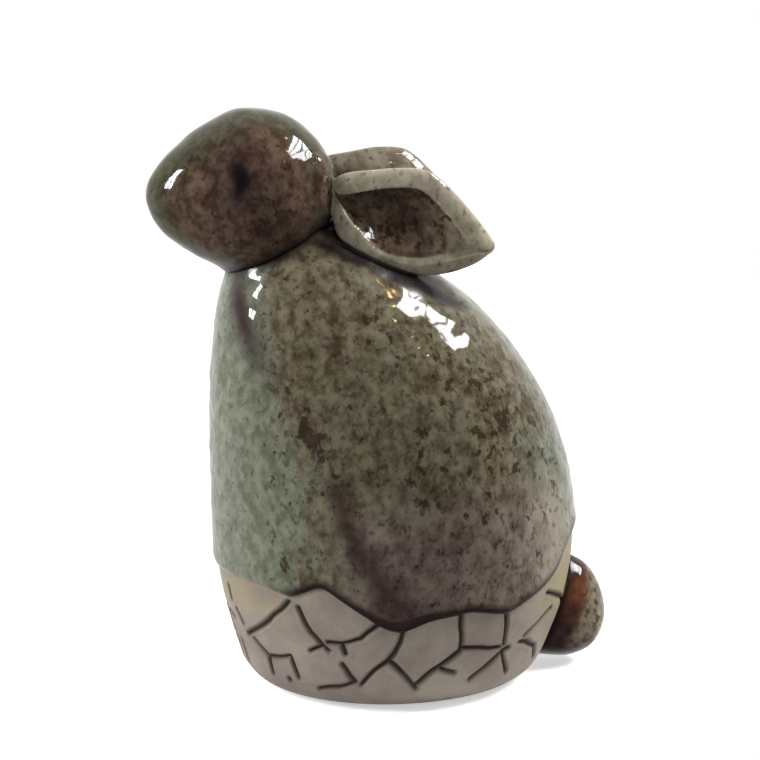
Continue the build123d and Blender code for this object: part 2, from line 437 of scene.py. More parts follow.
def noise(tree, grain, stretch=(1, 1, 1), detail=3.0, roughness=0.55):
    """Noise with grains of about that size in mm, in the object's own space."""
    place = add(tree, "ShaderNodeTexCoord").outputs["Object"]
    scaled = add(tree, "ShaderNodeMapping", {"Vector": place, "Scale": stretch}).outputs["Vector"]
    inputs = {"Vector": scaled, "Scale": 1 / (grain * MM), "Detail": detail, "Roughness": roughness}
    return add(tree, "ShaderNodeTexNoise", inputs).outputs["Fac"]


def ramp(tree, value, low, high):
    """0 below low, 1 above high, smooth between."""
    inputs = {"Value": value, "From Min": low, "From Max": high}
    return add(tree, "ShaderNodeMapRange", inputs, interpolation_type="SMOOTHSTEP").outputs["Result"]


def maths(tree, operation, a, b):
    """One sum on two values."""
    return add(tree, "ShaderNodeMath", {0: a, 1: b}, operation=operation).outputs["Value"]


def mix(tree, factor, a, b):
    """Colour a where the factor is 0 and b where it is 1."""
    inputs = {0: factor, 6: a, 7: b}
    return add(tree, "ShaderNodeMix", inputs, data_type="RGBA").outputs[2]


def shader(name):
    """A new material: its node tree and its surface shader."""
    material = bpy.data.materials.new(name)
    material.use_nodes = True
    tree = material.node_tree
    return material, tree, tree.nodes["Principled BSDF"]


def rgb(red, green, blue):
    """A linear colour with full alpha."""
    return (red, green, blue, 1.0)


PURPLE_BLACK = rgb(0.007, 0.003, 0.005)
DARK_BROWN = rgb(0.026, 0.015, 0.009)
ROSY_DARK = rgb(0.09, 0.06, 0.053)
ROSY_MIDDLE = rgb(0.17, 0.13, 0.114)
ROSY_PALE = rgb(0.34, 0.285, 0.23)
AMBER = rgb(0.24, 0.075, 0.022)
POOLED_BROWN = rgb(0.03, 0.015, 0.015)
CLAY_GREY = rgb(0.215, 0.172, 0.148)
CLAY_IVORY = rgb(0.29, 0.25, 0.203)
CLAY_GRAIN = rgb(0.16, 0.13, 0.105)
STAIN_YELLOW = rgb(0.28, 0.235, 0.115)
CARVED_BROWN = rgb(0.026, 0.014, 0.009)


def glaze_material(name, ground, second, pale, pale_second):
    """Mottled runny glaze. Marks: pale where thin, flecked, rosy, amber, pooled at edges, and dark_and_shade:
    dark dabs, pooled glaze and painted shade in creases, pockets and under ears and rims.
    """
    material, tree, surface = shader(name)
    cloud = noise(tree, 7.0, (1, 1, 0.6), 4.0)
    streak = noise(tree, 3.4, (1, 1, 0.4), 4.0)
    mottle = noise(tree, 2.4, (1, 1, 0.8), 5.0, 0.65)
    fleck = noise(tree, 2.1, (1, 1, 0.9), 4.0, 0.55)
    dust = noise(tree, 1.4, (1, 1, 0.9), 2.0, 0.5)
    thin = maths(tree, "ADD", mark(tree, "pale"), maths(tree, "ADD", cloud, streak))
    thin = ramp(tree, thin, 1.1, 1.85)
    rosy = mark(tree, "rosy")
    shade = ramp(tree, mottle, 0.32, 0.68)
    dark_side = mix(tree, rosy, mix(tree, shade, ground, second), mix(tree, shade, ROSY_DARK, ROSY_MIDDLE))
    pale_side = mix(tree, rosy, mix(tree, shade, pale_second, pale), ROSY_PALE)
    colour = mix(tree, thin, dark_side, pale_side)
    spots = maths(tree, "ADD", fleck, maths(tree, "MULTIPLY", mark(tree, "flecked"), 0.12))
    spots = maths(tree, "MULTIPLY", ramp(tree, spots, 0.6, 0.69), 0.85)
    dust = maths(tree, "ADD", dust, maths(tree, "MULTIPLY", mark(tree, "flecked"), 0.05))
    specks = maths(tree, "MULTIPLY", ramp(tree, dust, 0.54, 0.7), 0.55)
    colour = mix(tree, maths(tree, "MAXIMUM", spots, specks), colour, DARK_BROWN)
    amber = maths(tree, "MULTIPLY", mark(tree, "amber"), ramp(tree, streak, 0.25, 0.7))
    colour = mix(tree, amber, colour, AMBER)
    pooled = maths(tree, "MULTIPLY", mark(tree, "pooled"), ramp(tree, cloud, 0.1, 0.5))
    colour = mix(tree, pooled, colour, POOLED_BROWN)
    # Darkest where marked: the eye's dab and pooled glaze at edges, and painted shade in creases, pockets and
    # under ears and rims.
    colour = mix(tree, mark(tree, "dark_and_shade"), colour, PURPLE_BLACK)
    tree.links.new(colour, surface.inputs["Base Color"])
    dull = maths(tree, "MULTIPLY", mark(tree, "dark_and_shade"), 0.2)
    tree.links.new(maths(tree, "ADD", dull, 0.07), surface.inputs["Roughness"])
    surface.inputs["Specular IOR Level"].default_value = 0.25
    swell = noise(tree, 5.0, (1, 1, 1), 2.0)
    bump = add(tree, "ShaderNodeBump", {"Height": swell, "Strength": 0.1, "Distance": 0.0006})
    tree.links.new(bump.outputs["Normal"], surface.inputs["Normal"])
    return material


def clay_material():
    """Bare fired clay, greyish ivory, dark in the carved lines and stained yellow near tail and chest, with
    painted shade in the crease at the tail's joint.
    """
    material, tree, surface = shader("bare_clay")
    cloud = noise(tree, 9.0, (1, 1, 1), 4.0)
    grain = noise(tree, 0.7, (1, 1, 1), 3.0, 0.65)
    colour = mix(tree, ramp(tree, cloud, 0.3, 0.7), CLAY_GREY, CLAY_IVORY)
    grainy = maths(tree, "MULTIPLY", ramp(tree, grain, 0.45, 0.75), 0.25)
    colour = mix(tree, grainy, colour, CLAY_GRAIN)
    stain = maths(tree, "MULTIPLY", mark(tree, "stained"), ramp(tree, cloud, 0.2, 0.7))
    colour = mix(tree, stain, colour, STAIN_YELLOW)
    colour = mix(tree, mark(tree, "carved"), colour, CARVED_BROWN)
    tree.links.new(colour, surface.inputs["Base Color"])
    surface.inputs["Roughness"].default_value = 0.6
    surface.inputs["Specular IOR Level"].default_value = 0.25
    bump = add(tree, "ShaderNodeBump", {"Height": grain, "Strength": 0.25, "Distance": 0.0003})
    tree.links.new(bump.outputs["Normal"], surface.inputs["Normal"])
    return material


# Torso: the solid's outer surface is surveyed once, and clay and glaze are both drawn from the survey.
FOOT_TURNS = np.linspace(FOOT_START, math.pi / 2, FOOT_ROWS, endpoint=False)
FOOT_LEVELS = FOOT_ROUND * (1 - np.cos(FOOT_TURNS))


def survey_torso():
    """Angles, heights, axis and reach of the torso's outside."""
    angles = np.linspace(0, 2 * math.pi, TORSO_COLUMNS, endpoint=False)
    heights = np.concatenate([FOOT_LEVELS, np.arange(FOOT_ROUND, CLAY_TOP, SURVEY_STEP)])
    tree = cad_tree("torso_shell")
    axis = np.zeros(len(heights))
    for row, height in enumerate(heights):
        front = tree.ray_cast(Vector((-2 * HALF_LENGTH, 0.01, height)), Vector((1, 0, 0)))[0]
        rear = tree.ray_cast(Vector((2 * HALF_LENGTH, 0.01, height)), Vector((-1, 0, 0)))[0]
        axis[row] = (front.x + rear.x) / 2
    reach = np.zeros((len(heights), TORSO_COLUMNS))
    ways = np.stack([HALF_LENGTH * np.sin(angles), -HALF_WIDTH * np.cos(angles)], axis=1)
    for row, height in enumerate(heights):
        for column, (x, y) in enumerate(ways):
            start = Vector((axis[row] + 2 * x, 2 * y, height))
            hit = tree.ray_cast(start, Vector((-x, -y, 0)))[0]
            reach[row, column] = (hit.x - axis[row]) / x if abs(x) > abs(y) else hit.y / y
    for _ in range(ROUND_PASSES):
        reach = 0.5 * reach + 0.25 * (np.roll(reach, 1, axis=1) + np.roll(reach, -1, axis=1))
    upper = heights > FOOT_ROUND
    for _ in range(UP_PASSES):
        middle = 0.5 * reach[1:-1] + 0.25 * (reach[:-2] + reach[2:])
        reach[1:-1][upper[1:-1]] = middle[upper[1:-1]]
    return angles, heights, axis, reach


def survey_edge(angles):
    """Height of the glaze's lower edge at each angle, with the corners rounded off."""
    tree = cad_tree("torso_glaze")
    levels = np.arange(*EDGE_SEARCH)
    edge = np.zeros(len(angles))
    for column, angle in enumerate(angles):
        x = HALF_LENGTH * math.sin(angle)
        y = -HALF_WIDTH * math.cos(angle)
        for level in levels:
            if tree.ray_cast(Vector((2 * x, 2 * y, level)), Vector((-x, -y, 0)), 1.2 * HALF_LENGTH)[0]:
                edge[column] = level
                break
    for _ in range(EDGE_PASSES):
        edge = 0.5 * edge + 0.25 * (np.roll(edge, 1) + np.roll(edge, -1))
    return edge


ANGLES, HEIGHTS, AXIS, REACH = survey_torso()
EDGE = survey_edge(ANGLES)


def torso_points(levels, columns, shrink=0.0):
    """Points of the torso's outside: one row of heights for each ring, one height for each column."""
    rings = []
    for ring in levels:
        share = np.array([np.interp(ring[i], HEIGHTS, REACH[:, c]) for i, c in enumerate(columns)])
        middle = np.interp(ring, HEIGHTS, AXIS)
        x = middle + (share * HALF_LENGTH - shrink) * np.sin(ANGLES[columns])
        y = -(share * HALF_WIDTH - shrink) * np.cos(ANGLES[columns])
        rings.append(np.stack([x, y, ring], axis=1))
    return np.array(rings)


def crown(ring, top):
    """Rings that close a form over its last ring, rising to that height in the middle."""
    middle = ring.mean(axis=0)
    rings = []
    for share in CROWN_SHARES:
        inner = middle + share * (ring - middle)
        inner[:, 2] = ring[:, 2] + (top - ring[:, 2]) * (1 - share**2)
        rings.append(inner)
    return np.array(rings)


def flank_angle(angles):
    """Angle from the flank towards the tail, the same on both sides, in degrees."""
    return np.degrees(np.arcsin(np.sin(angles)))


def crack_depth(angles, heights):
    """How far in the crackle is carved at each place, and how strongly it is stained, from 0 to 1."""
    radius = (HALF_LENGTH + HALF_WIDTH) / 2
    wobble = np.stack([np.cos(angles) * radius, np.sin(angles) * radius, heights], axis=1)
    along = radius * angles + CRACK_WOBBLE * waves(wobble, 7.0, 5)
    level = heights + CRACK_WOBBLE * waves(wobble, 6.0, 6)
    turn = 2 * math.pi * radius
    least = np.full(len(angles), FAR)
    for side in (0, 180):
        for line in CRACKLE:
            for (angle_a, height_a), (angle_b, height_b) in zip(line, line[1:]):
                a = radius * math.radians(angle_a + side)
                b = radius * math.radians(angle_b + side)
                run = np.array([b - a, height_b - height_a])
                off = (along - a + turn / 2) % turn - turn / 2
                share = (off * run[0] + (level - height_a) * run[1]) / (run @ run + 1e-9)
                share = np.clip(share, 0, 1)
                distance = np.hypot(off - share * run[0], level - height_a - share * run[1])
                least = np.minimum(least, distance)
    share = least / CRACK_HALF_WIDTH
    groove = CRACK_DEPTH * np.exp(-(share**2) * 1.2)
    lip = CRACK_LIP * np.exp(-((share - 2.1) ** 2) * 2.0)
    return groove - lip, np.exp(-(share**2) * 0.7)


def torso_clay(material):
    """The clay body: foot, carved band and the wall under the glaze, hollow inside, open at the pour hole."""
    columns = np.arange(TORSO_COLUMNS)
    count = len(columns)
    edge_top = EDGE + 2.0
    levels = [np.full(count, height) for height in FOOT_LEVELS]
    for share in np.linspace(0, 1, BAND_ROWS):
        levels.append(FOOT_ROUND + share * (edge_top - FOOT_ROUND))
    for share in np.linspace(0, 1, WALL_ROWS)[1:]:
        levels.append(edge_top + share * (CLAY_TOP - edge_top))
    outer = torso_points(levels, columns)
    outer = np.concatenate([outer, crown(outer[-1], CROWN_TOP)])
    rings, faces = outer.shape[0], ring_faces(outer.shape[0], count)
    flat = outer.reshape(-1, 3)
    normals = corner_normals(flat, faces)
    angles = np.tile(ANGLES, rings)
    cut, carved = crack_depth(angles, flat[:, 2])
    bare = np.tile(EDGE, rings) + 1.0 > flat[:, 2]
    wave = CLAY_WAVE * waves(flat, 14.0, 3) * smooth_step(0, 3, flat[:, 2])
    flat = flat + normals * (wave - cut * bare)[:, None]
    flat, crease_pool_and_shade = join(flat, normals, [("tail", TAIL_JOINT, 0.0, TAIL_CREASE)], faces)
    inside = []
    for height in np.linspace(HOLLOW_TOP, FLOOR_THICKNESS, HOLLOW_ROWS):
        inside.append(np.full(count, height))
    inner = torso_points(inside, columns, TORSO_WALL)
    inner = np.concatenate([crown(inner[0], HOLLOW_TOP)[::-1], inner])
    hole = []
    for height in (FLOOR_THICKNESS, 0.0):
        x = POUR_HOLE_RADIUS * np.sin(ANGLES)
        y = -POUR_HOLE_RADIUS * np.cos(ANGLES)
        hole.append(np.stack([x, y, np.full(count, height)], axis=1))
    foot_flat = torso_points([np.full(count, FOOT_LEVELS[0])], columns, 1.0)
    foot_flat[:, :, 2] = 0
    below = [form.reshape(-1, 3) for form in (inner, np.array(hole), foot_flat)]
    points = np.concatenate([flat, *below])
    extra = len(points) - len(flat)
    faces = ring_faces(len(points) // count, count, joined=True)
    side = flank_angle(angles)
    stained = np.exp(-((side - 62) / 16) ** 2) * smooth_step(8, 20, flat[:, 2])
    stained += 0.9 * np.exp(-((side + 66) / 20) ** 2 - ((flat[:, 2] - 23) / 5) ** 2)
    rest = np.zeros(extra)
    marks = {
        # Dark in the carved lines; in the crease at the tail's joint the darkening is painted shade.
        "carved": np.concatenate([np.clip(carved * bare + 0.8 * crease_pool_and_shade, 0, 1), rest]),
        "stained": np.concatenate([stained, rest]),
    }
    return add_piece("torso_clay", points, faces, ["torso_shell"], material, marks)


def patches(rows, side, height):
    """The sum of soft patches at those angles and heights."""
    total = np.zeros(len(side))
    for strength, angle, spread, level, rise, slant in rows:
        off = (side - angle - slant * (level - height)) / spread
        total += strength * np.exp(-(off**2) - ((height - level) / rise) ** 2)
    return total


def torso_coat(material):
    """The torso's glaze: a coat with a thick rounded lip at its ragged lower edge, risen into the joints."""
    columns = np.arange(0, TORSO_COLUMNS, GLAZE_STEP)
    count = len(columns)
    edge = EDGE[columns]
    lip = LIP_HEIGHT * np.linspace(0, 1, LIP_ROWS) ** 2
    levels = [edge + height for height in lip]
    for share in np.linspace(0, 1, GLAZE_ROWS)[1:]:
        levels.append(edge + LIP_HEIGHT + share * (CLAY_TOP - edge - LIP_HEIGHT))
    ground = torso_points(levels, columns)
    ground = np.concatenate([ground, crown(ground[-1], CROWN_TOP)])
    rings = ground.shape[0]
    faces = ring_faces(rings, count)
    flat = ground.reshape(-1, 3)
    normals = corner_normals(flat, faces)
    above = flat[:, 2] - np.tile(edge, rings)
    round_off = np.sqrt(np.clip(1 - (1 - np.clip(above / LIP_ROUND, 0, 1)) ** 2, 0, 1))
    roll = ROLL_HEIGHT * np.exp(-((above - ROLL_RISE) / ROLL_SPREAD) ** 2)
    wave = GLAZE_WAVE * waves(flat, 9.0, 11) + 0.5 * GLAZE_WAVE * waves(flat, 4.0, 12)
    thick = (GLAZE + roll + wave * smooth_step(0, 3, above)) * round_off
    outer = flat + normals * thick[:, None]
    joints = [
        ("head_shell", NECK_JOINT, 0.0, NECK_CREASE),
        ("left_ear", EAR_JOINT, 0.0, EAR_CREASE),
        ("right_ear", EAR_JOINT, 0.0, EAR_CREASE),
        ("tail", TAIL_JOINT, 0.0, TAIL_CREASE),
    ]
    outer, crease_pool_and_shade = join(outer, normals, joints, faces)
    under = (flat - normals * COAT_UNDER).reshape(rings, count, 3)[::-1].reshape(-1, 3)
    points = np.concatenate([outer, under])
    side = flank_angle(np.tile(ANGLES[columns], rings))
    height = flat[:, 2]
    pale = 0.22 + 0.7 * smooth_step(*CHEST, side) + 0.5 * smooth_step(*BACK, side)
    pale += 0.6 * smooth_step(*LOW_BACK, side) * smooth_step(*LOW_BACK_TOP, height)
    pale += patches(PALE_PATCHES, side, height)
    flecked = patches(FLECKED_PATCHES, side, height) - 0.6 * smooth_step(*FLECK_FREE, side)
    pooled = (1 - smooth_step(*LIP_POOL, above)) * smooth_step(*LIP_POOL_FROM, side)
    run = np.interp(height, STREAK_HEIGHTS, STREAK_ANGLES)
    spread = np.interp(height, STREAK_HEIGHTS, STREAK_SPREADS)
    pooled += 0.8 * np.exp(-((side - run) / spread) ** 2) * smooth_step(*STREAK_END, height)
    pooled += patches(POOLED_PATCHES, side, height)
    rosy = 0.8 * smooth_step(*ROSY_TOP, height) * smooth_step(*ROSY_FROM, side)
    rosy *= 1 - 0.85 * smooth_step(*ROSY_TO, side)
    # Painted shade: darker between head and ears and under the ears; the creases hold darker pooled glaze and
    # painted shade.
    beside_ear = np.minimum(gap_to(outer, "left_ear", POCKET_SHADE[0])[0], gap_to(outer, "right_ear", POCKET_SHADE[0])[0])
    pocket_shade = smooth_step(*POCKET_SHADE, gap_to(outer, "head_shell", POCKET_SHADE[0])[0] + beside_ear)
    under_ear_shade = smooth_step(*UNDER_EAR_SHADE, beside_ear) * smooth_step(*UNDER_EAR_SHADE_FROM, np.abs(outer[:, 1]))
    edge_line = smooth_step(*DARK_EDGE_FROM, side) * (1 - 0.6 * smooth_step(*DARK_EDGE_TO, side))
    edge_line = 0.8 * edge_line * (1 - smooth_step(*DARK_EDGE, above))
    dark = np.maximum(0.95 * np.maximum(np.maximum(crease_pool_and_shade, pocket_shade), under_ear_shade), edge_line)
    rest = np.zeros(len(under))
    marks = {
        "pale": np.concatenate([pale, rest]),
        "flecked": np.concatenate([flecked, rest]),
        "pooled": np.concatenate([np.clip(pooled, 0, 1), rest]),
        "rosy": np.concatenate([rosy, rest]),
        "amber": np.zeros(len(points)),
        "dark_and_shade": np.concatenate([dark, rest]),
    }
    faces = ring_faces(2 * rings, count, joined=True)
    return add_piece("torso_glaze_coat", points, faces, ["torso_glaze"], material, marks)


# Head and tail: rounded forms drawn on an even ball of points.
def ball(detail):
    """Points and triangles of an even unit ball."""
    made = bmesh.new()
    bmesh.ops.create_icosphere(made, subdivisions=detail, radius=1.0)
    points = np.array([v.co[:] for v in made.verts])
    faces = np.array([[v.index for v in face.verts] for face in made.faces])
    made.free()
    return points / np.linalg.norm(points, axis=1)[:, None], faces


def rounded_points(unit, length, half_width, half_height, fullest, front_curve, ease=0.0):
    """A form round at both ends, along X from the origin, fullest at that share of its length."""
    share = (unit[:, 0] + 1) / 2
    front = np.clip((fullest - share) / fullest, 0, 1)
    rear = np.clip((share - fullest) / (1 - fullest), 0, 1)
    front = front**2 * (1 + ease) / (front + ease + 1e-9)
    before = np.clip(1 - front ** front_curve[0], 0, 1) ** front_curve[1]
    behind = np.clip(1 - rear ** ROUND_CURVE[0], 0, 1) ** ROUND_CURVE[1]
    reach = np.where(share < fullest, before, behind)
    spoke = np.linalg.norm(unit[:, 1:], axis=1) + 1e-9
    y = half_width * reach * unit[:, 1] / spoke
    z = half_height * reach * unit[:, 2] / spoke
    return np.stack([share * length, y, z], axis=1)


def head(material):
    """The head: muzzle, brow and nape in one egg, an eye hollow on each side, joined to neck and ears."""
    unit, faces = ball(HEAD_DETAIL)
    halves = (HEAD_WIDTH / 2, HEAD_HEIGHT / 2)
    local = rounded_points(unit, HEAD_LENGTH, *halves, HEAD_FULLEST, MUZZLE_CURVE, MUZZLE_EASE)
    off = np.hypot((local[:, 0] - EYE_SETBACK) / EYE_WIDTH, (local[:, 2] - EYE_RISE) / EYE_HEIGHT)
    off = np.where(np.abs(local[:, 1]) > 0.4 * HEAD_WIDTH / 2, off, FAR)
    eye = np.exp(-(off**4) * EYE_SHARPNESS)
    before = local[:, 0] - EYE_SETBACK + SMEAR_OFFSET[0]
    below = local[:, 2] - EYE_RISE + SMEAR_OFFSET[1]
    smear = np.exp(-(before**2 + below**2) / SMEAR_SIZE**2)
    rise = HEAD_FULLEST * HEAD_LENGTH * math.sin(math.radians(HEAD_PITCH))
    nose = Vector((HEAD_LOW[0], 0, HEAD_HIGH[2] - HEAD_HEIGHT / 2 - rise))
    points = moved(local, Matrix.Translation(nose) @ turned(-HEAD_PITCH, "Y"))
    normals = corner_normals(points, faces)
    wave = 1.2 * GLAZE_WAVE * waves(points, 11.0, 21) + 0.5 * GLAZE_WAVE * waves(points, 5.0, 22)
    points = points + normals * (wave - EYE_DEPTH * eye)[:, None]
    joints = [
        ("torso_shell", NECK_JOINT, GLAZE, NECK_CREASE),
        ("left_ear", NAPE_JOINT, 0.0, NAPE_CREASE),
        ("right_ear", NAPE_JOINT, 0.0, NAPE_CREASE),
    ]
    points, crease_pool_and_shade = join(points, normals, joints, faces)
    side = np.abs(normals[:, 1])
    pale = 0.5 * (1 - smooth_step(0.3, 0.95, side)) + 0.3 * smooth_step(4, 12, local[:, 2])
    pale += 0.4 * smooth_step(12, 3, local[:, 0]) + 0.35 * smooth_step(22, 32, local[:, 0])
    marks = {
        "pale": pale,
        "flecked": np.zeros(len(points)),
        "rosy": np.zeros(len(points)),
        "pooled": np.clip(0.5 * np.exp(-(off / 1.8) ** 2), 0, 1),
        "amber": np.zeros(len(points)),
        # The eye's dab and the smear are dark glaze; in the creases at the joints it is darker pooled glaze
        # and painted shade.
        "dark_and_shade": np.clip(eye + 0.6 * smear * (side > 0.5) + 0.95 * crease_pool_and_shade, 0, 1),
    }
    return add_piece("head_glazed", points, faces, ["head_shell"], material, marks)


def tail(material):
    """The tail: an egg against the back, amber where the glaze ran off it."""
    unit, faces = ball(TAIL_DETAIL)
    local = rounded_points(unit, TAIL_HEIGHT, TAIL_WIDTH / 2, TAIL_LENGTH / 2, TAIL_FULLEST, ROUND_CURVE)
    stand = Matrix.Translation(Vector((-TAIL_HEIGHT / 2, 0, 0)))
    middle = Vector((TORSO_HIGH[0] - TAIL_INSET, 0, TAIL_LOW[2] + TAIL_HEIGHT / 2))
    points = moved(local, Matrix.Translation(middle) @ turned(-TAIL_LEAN - 90, "Y") @ stand)
    inward = smooth_step(middle.x + TAIL_TUCK_HALF, middle.x - TAIL_TUCK_HALF, points[:, 0])
    points[:, 0] -= TAIL_TUCK * inward * smooth_step(*TAIL_TUCK_HEIGHTS, points[:, 2])
    normals = corner_normals(points, faces)
    points = points + normals * (GLAZE_WAVE * waves(points, 7.0, 31))[:, None]
    gaps = gap_to(points, "torso_shell", TAIL_LENGTH)[0]
    points, crease_pool_and_shade = join(points, normals, [("torso_shell", TAIL_JOINT, 0.0, TAIL_CREASE)], faces)
    height = points[:, 2]
    near_body = smooth_step(7.0, 1.0, gaps)
    marks = {
        "pale": 1.1 * smooth_step(2.0, 7.0, gaps) - 0.1,
        "flecked": np.full(len(points), 0.4),
        "rosy": np.zeros(len(points)),
        "pooled": 0.8 * np.clip(smooth_step(8, 3, height) + 0.4 * near_body, 0, 1),
        "amber": 0.9 * near_body * smooth_step(9, 13, height) * smooth_step(21, 17, height),
        # Darker in the creases, and painted shade low down where the tail meets the body.
        "dark_and_shade": np.maximum(0.9 * crease_pool_and_shade, 0.5 * smooth_step(12, 6, height) * smooth_step(9, 3, gaps)),
    }
    return add_piece("tail_glazed", points, faces, ["tail"], material, marks)


# Ears: rings across a leaf, hollowed on the outer side with a rounded rim.
def ear(name, mirrored, lift, material):
    """One ear, with marks for the thin glaze on its rim, the dark pool in its scoop and painted shade under
    its upper rim.
    """
    shares = np.linspace(EAR_SECTIONS[0, 0], 1.0, EAR_ROWS)
    knots = EAR_SECTIONS[:, 0]
    upper, lower, thick = (curve_through(knots, EAR_SECTIONS[:, i], shares) for i in (1, 2, 3))
    middle = (upper + lower) / 2 * EAR_WIDTH
    half_height = (upper - lower) / 2 * EAR_WIDTH
    half_thick = thick * EAR_THICKNESS / 2
    turn = np.linspace(0, 2 * math.pi, EAR_COLUMNS, endpoint=False)
    z = middle[:, None] + half_height[:, None] * np.cos(turn)
    y = -half_thick[:, None] * np.sin(turn)
    x = np.repeat((shares * EAR_LENGTH)[:, None], EAR_COLUMNS, axis=1)
    ends = smooth_step(SCOOP_SPAN[0], SCOOP_SPAN[0] + SCOOP_FADE[0], shares)
    ends *= smooth_step(SCOOP_SPAN[1], SCOOP_SPAN[1] - SCOOP_FADE[1], shares)
    rim_above = np.interp(shares, RIM_SHARES, UPPER_RIM)
    rim_below = np.interp(shares, RIM_SHARES, LOWER_RIM)
    scoop_middle = middle + (rim_below - rim_above) / 2
    scoop_half = (half_height - (rim_below + rim_above) / 2) * np.clip(ends, 0.001, 1) ** 0.25
    off = np.clip((z - scoop_middle[:, None]) / np.clip(scoop_half, 0.3, None)[:, None], -1, 1)
    across = ((off + 1) / 2) ** SCOOP_SKEW
    bowl = np.clip(1 - (2 * across - 1) ** 2, 0, 1) ** SCOOP_HOLLOW
    floor = -half_thick[:, None] + (ends * thick * EAR_SCOOP_DEPTH)[:, None] * bowl
    outer = y <= 0
    step = np.clip(1 - np.abs(floor - y) / EAR_RIM_ROUND, 0, 1)
    blended = np.maximum(y, floor) + step**2 * EAR_RIM_ROUND / 4 * (bowl > 0)
    inside = np.clip((floor - y) / EAR_SCOOP_DEPTH, 0, 1) * outer
    y = np.where(outer & (ends > 0)[:, None], blended, y)
    drape = smooth_step(-0.07, 0.12, shares) * (1 - 0.75 * smooth_step(0.45, 0.9, shares))
    y = y - EAR_DRAPE * drape[:, None] * smooth_step(0.05, -0.55, z / EAR_WIDTH)
    local = np.stack([x, y, z], axis=-1).reshape(-1, 3)
    tips = np.array([local[:EAR_COLUMNS].mean(axis=0), local[-EAR_COLUMNS:].mean(axis=0)])
    tips[0, 0] -= 0.3
    tips[1, 0] += 0.35
    local = np.concatenate([local, tips])
    faces = ring_faces(EAR_ROWS, EAR_COLUMNS)[:, ::-1].tolist()
    root_tip, far_tip = len(local) - 2, len(local) - 1
    last = (EAR_ROWS - 1) * EAR_COLUMNS
    for column in range(EAR_COLUMNS):
        after = (column + 1) % EAR_COLUMNS
        faces.append([root_tip, column, after])
        faces.append([far_tip, last + after, last + column])
    rise = TORSO_HIGH[2] + EAR_ROOT_RISE + lift
    place = Vector((HEAD_HIGH[0] - EAR_ROOT_INSET, -EAR_ROOT_SPREAD / 2, rise))
    lay = Matrix.Translation(place) @ turned(-EAR_SPLAY, "Z") @ turned(EAR_PITCH, "Y") @ turned(EAR_LEAN, "X")
    points = moved(local, lay)
    if mirrored:
        points[:, 1] *= -1
        faces = [face[::-1] for face in faces]
    quads = np.array(faces[: (EAR_ROWS - 1) * EAR_COLUMNS])
    normals = corner_normals(points, quads)
    points = points + normals * (0.8 * GLAZE_WAVE * waves(points, 8.0, 41 + mirrored))[:, None]
    joints = [("head_shell", NAPE_JOINT, 0.0, NAPE_CREASE), ("torso_shell", EAR_JOINT, GLAZE, RIM_CREASE)]
    points, crease_pool_and_shade = join(points, normals, joints, quads)
    depth = np.concatenate([inside.reshape(-1), [0, 0]])
    under_rim = np.concatenate([off.reshape(-1), [0, 0]])
    along = local[:, 0] / EAR_LENGTH
    edge_on = np.abs(np.concatenate([np.repeat(np.cos(turn)[None, :], EAR_ROWS, axis=0).reshape(-1), [1, 1]]))
    in_scoop = smooth_step(0.01, 0.15, depth)
    outside = np.concatenate([outer.reshape(-1), [True, True]])
    pale = np.where(outside, 0.95 * (1 - in_scoop), 0.15 + 0.45 * smooth_step(0.2, 0.7, edge_on))
    pale += 0.4 * smooth_step(0.5, 0.9, along) * in_scoop
    # Painted shade in the scoop, under its upper rim towards the root.
    shade = smooth_step(0.2, 0.9, under_rim) * smooth_step(0.55, 0.15, along) * in_scoop
    marks = {
        "pale": pale,
        "flecked": 0.5 * in_scoop - 0.5 * (1 - in_scoop),
        "rosy": (0.0 if mirrored else 0.4) * smooth_step(0.2, 0.7, local[:, 2] / (EAR_WIDTH / 2)),
        "pooled": np.where(outside, 0.2 * in_scoop * smooth_step(0.9, 0.3, along), 0.35),
        "amber": np.zeros(len(points)),
        "dark_and_shade": np.clip(0.9 * crease_pool_and_shade + 0.8 * shade, 0, 1),
    }
    return add_piece(name + "_glazed", points, faces, [name], material, marks)


# Colours: brown and olive where the glaze is thick, grey-green where it is thin.
CLAY = clay_material()
TORSO_GLAZE = glaze_material(
    "torso_glaze", rgb(0.062, 0.045, 0.025), rgb(0.18, 0.155, 0.1),
    rgb(0.185, 0.2, 0.148), rgb(0.098, 0.102, 0.067)
)
HEAD_GLAZE = glaze_material(
    "head_glaze", rgb(0.045, 0.022, 0.015), rgb(0.14, 0.09, 0.065),
    rgb(0.074, 0.07, 0.038), rgb(0.034, 0.028, 0.015)
)
EAR_GLAZE = glaze_material(
    "ear_glaze", rgb(0.08, 0.044, 0.029), rgb(0.23, 0.165, 0.112),
    rgb(0.44, 0.4, 0.3), rgb(0.26, 0.236, 0.163)
)
TAIL_GLAZE = glaze_material(
    "tail_glaze", rgb(0.034, 0.012, 0.010), rgb(0.085, 0.04, 0.028),
    rgb(0.24, 0.2, 0.145), rgb(0.11, 0.085, 0.056)
)
SLIP_GLAZE = glaze_material(
    "slip", rgb(0.016, 0.009, 0.009), rgb(0.03, 0.018, 0.016),
    rgb(0.05, 0.04, 0.03), rgb(0.03, 0.022, 0.016)
)

torso_clay(CLAY)
torso_coat(TORSO_GLAZE)
head(HEAD_GLAZE)
tail(TAIL_GLAZE)
ear("left_ear", False, 0.0, EAR_GLAZE)
ear("right_ear", True, RIGHT_EAR_LIFT, EAR_GLAZE)

# Pieces whose solids are right as they are: the disc under the foot and the beds of slip.
KEPT_NODES = {
    "pour_hole_plug": CLAY,
    "plug_slip": SLIP_GLAZE,
    "neck_slip": SLIP_GLAZE,
    "left_ear_slip": SLIP_GLAZE,
    "right_ear_slip": SLIP_GLAZE,
    "tail_slip": SLIP_GLAZE,
}
for node, material in KEPT_NODES.items():
    solid = frame["nodes"][node]
    solid.data.materials.clear()
    solid.data.materials.append(material)

